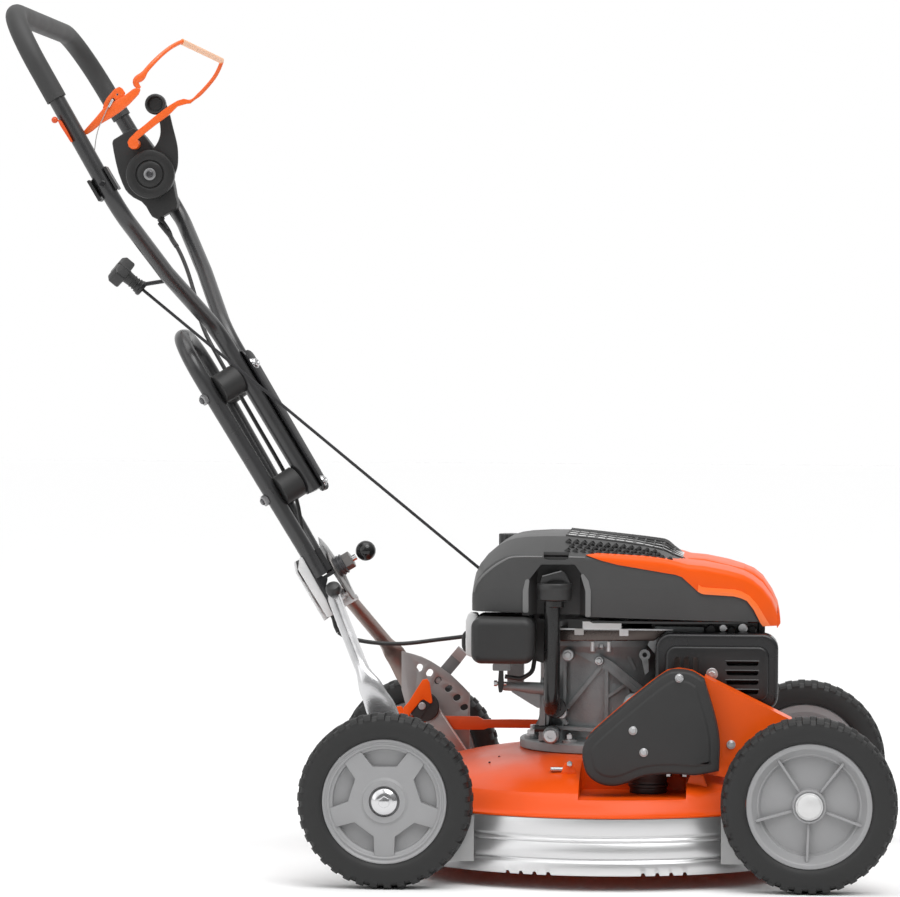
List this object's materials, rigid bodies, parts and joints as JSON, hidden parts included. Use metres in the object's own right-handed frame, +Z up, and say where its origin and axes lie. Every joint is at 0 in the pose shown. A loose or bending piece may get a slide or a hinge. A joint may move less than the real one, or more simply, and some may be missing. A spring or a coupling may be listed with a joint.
{
  "type": "petrol lawn mower",
  "caption": "Walk-behind petrol lawn mower with a round deck, pull-start engine, belt-driven front drive, height lever and a folding, swinging handle",
  "frame": {"origin": "centre of the mower's box on the ground plane", "axes": "+X is the mower's front, +Y its left side, +Z up; the handle is at the rear, towards -X"},
  "size_m": [1.0825, 0.5718, 1.0613],
  "materials": {
    "orange_paint": "gloss orange powder coat",
    "black_paint": "satin black powder coat",
    "black_plastic": "fine-grained moulded plastic",
    "grey_plastic": "smooth moulded plastic",
    "rubber": "matt",
    "aluminium": "cast and turned",
    "steel": "plain",
    "zinc_plate": "dull zinc plate"
  },
  "bodies": {
    "mower": {"deck_shell": "orange_paint", "skirt_ring": "aluminium", "crankcase": "aluminium", "muffler": "steel", "muffler_guard": "black_plastic", "engine_shroud": "black_plastic", "top_cap": "orange_paint", "vent_grille": "black_plastic", "air_filter_box": "black_plastic", "carburettor": "aluminium", "oil_filler_tube": "black_plastic", "fuel_tank": "black_plastic", "belt_cover": "black_plastic", "drive_guard": "orange_paint", "drive_gearbox": "aluminium", "drive_belt": "rubber", "strut_right": "zinc_plate", "strut_left": "zinc_plate", "axle_bracket_rear_right": "zinc_plate", "axle_bracket_rear_left": "zinc_plate", "axle_bracket_front_right": "zinc_plate", "axle_bracket_front_left": "zinc_plate", "starter_rope": "black_paint"},
    "rear_axle": {"axle_rear": "steel", "height_lever": "zinc_plate"},
    "front_axle": {"axle_front": "steel"},
    "height_link": {"link_bar": "orange_paint"},
    "crank": {"crankshaft": "steel", "flywheel": "aluminium", "blade": "steel"},
    "lower_pulley": {"drive_pulley_lower": "steel"},
    "upper_pulley": {"drive_pulley_upper": "steel"},
    "bracket": {"handle_bracket": "zinc_plate"},
    "lock": {"lock_plunger": "black_plastic"},
    "handle": {"lower_frame": "black_paint", "upper_handle": "black_paint", "grip_sleeve": "rubber", "rubber_mount_upper_right": "rubber", "rubber_mount_lower_right": "rubber", "rubber_mount_upper_left": "rubber", "rubber_mount_lower_left": "rubber", "clamp_plate_right": "black_paint", "clamp_plate_left": "black_paint", "control_box": "black_plastic", "cable_clip": "black_plastic", "throttle_cable": "black_plastic"},
    "bail": {"brake_bail": "orange_paint"},
    "throttle": {"throttle_lever": "black_plastic"},
    "pull_grip": {"starter_grip": "black_plastic"},
    "filler_cap": {"oil_filler_cap": "black_plastic"},
    "tank_cap": {"fuel_cap": "black_plastic"},
    "wheel_rear_right": {"rim_rear_right": "grey_plastic", "tyre_rear_right": "rubber"},
    "wheel_rear_left": {"rim_rear_left": "grey_plastic", "tyre_rear_left": "rubber"},
    "wheel_front_right": {"rim_front_right": "grey_plastic", "tyre_front_right": "rubber"},
    "wheel_front_left": {"rim_front_left": "grey_plastic", "tyre_front_left": "rubber"}
  },
  "joints": [
    {"name": "cut_height", "type": "hinge", "parent": "mower", "child": "rear_axle", "pos_m": [-0.0982, 0, 0.14], "axis": [0, 1, 0], "range_deg": [-18, 18]},
    {"name": "cut_height_front", "type": "hinge", "parent": "mower", "child": "front_axle", "pos_m": [0.4064, 0, 0.14], "axis": [0, 1, 0], "range_deg": [-18, 18]},
    {"name": "link_turn", "type": "hinge", "parent": "rear_axle", "child": "height_link", "pos_m": [-0.0982, 0, 0.16], "axis": [0, 1, 0], "range_deg": [-18, 18]},
    {"name": "crank_spin", "type": "hinge", "parent": "mower", "child": "crank", "pos_m": [0.1841, 0, 0.2], "axis": [0, 0, 1], "continuous": true},
    {"name": "lower_pulley_spin", "type": "hinge", "parent": "mower", "child": "lower_pulley", "pos_m": [0.2241, -0.2063, 0.16], "axis": [0, -1, 0], "continuous": true},
    {"name": "upper_pulley_spin", "type": "hinge", "parent": "mower", "child": "upper_pulley", "pos_m": [0.2811, -0.2063, 0.214], "axis": [0, -1, 0], "continuous": true},
    {"name": "handle_fold", "type": "hinge", "parent": "mower", "child": "bracket", "pos_m": [-0.1504, 0, 0.333], "axis": [0, 1, 0], "range_deg": [0, 75], "deforming": ["throttle_cable", "starter_rope"]},
    {"name": "lock_pull", "type": "slide", "parent": "bracket", "child": "lock", "axis": [0.859, 0, 0.512], "range_m": [0, 0.008], "stiffness_N_per_m": 400, "springref_m": -0.005},
    {"name": "handle_swing", "type": "hinge", "parent": "bracket", "child": "handle", "pos_m": [-0.176, 0, 0.37595], "axis": [0.859, 0, 0.512], "range_deg": [-12, 12]},
    {"name": "bail_squeeze", "type": "hinge", "parent": "handle", "child": "bail", "pos_m": [-0.4434, 0, 0.90575], "axis": [0, -1, 0], "range_deg": [0, 66], "stiffness_Nm_per_rad": 1.5, "springref_deg": -34.38},
    {"name": "throttle_turn", "type": "hinge", "parent": "handle", "child": "throttle", "pos_m": [-0.4179, 0.2052, 0.867], "axis": [0, -1, 0], "range_deg": [0, 30]},
    {"name": "starter_pull", "type": "slide", "parent": "handle", "child": "pull_grip", "axis": [-0.7516, -0.1823, 0.634], "range_m": [0, 0.45], "stiffness_N_per_m": 4, "springref_m": -0.6},
    {"name": "filler_cap_turn", "type": "hinge", "parent": "mower", "child": "filler_cap", "pos_m": [0.1271, -0.1345, 0.35], "axis": [0, 0, 1], "range_deg": [0, 180]},
    {"name": "tank_cap_turn", "type": "hinge", "parent": "mower", "child": "tank_cap", "pos_m": [0.0601, 0.1, 0.4], "axis": [0, 0, 1], "range_deg": [0, 180]},
    {"name": "wheel_rear_right_spin", "type": "hinge", "parent": "rear_axle", "child": "wheel_rear_right", "pos_m": [-0.0682, -0.262, 0.105], "axis": [0, 1, 0], "continuous": true},
    {"name": "wheel_rear_left_spin", "type": "hinge", "parent": "rear_axle", "child": "wheel_rear_left", "pos_m": [-0.0682, 0.262, 0.105], "axis": [0, 1, 0], "continuous": true},
    {"name": "wheel_front_right_spin", "type": "hinge", "parent": "front_axle", "child": "wheel_front_right", "pos_m": [0.4364, -0.262, 0.105], "axis": [0, 1, 0], "continuous": true},
    {"name": "wheel_front_left_spin", "type": "hinge", "parent": "front_axle", "child": "wheel_front_left", "pos_m": [0.4364, 0.262, 0.105], "axis": [0, 1, 0], "continuous": true}
  ],
  "couplings": [
    {"joint": "cut_height_front", "follows": "cut_height", "ratio": 1},
    {"joint": "link_turn", "follows": "cut_height", "ratio": -1},
    {"joint": "upper_pulley_spin", "follows": "lower_pulley_spin", "ratio": 0.69231}
  ]
}
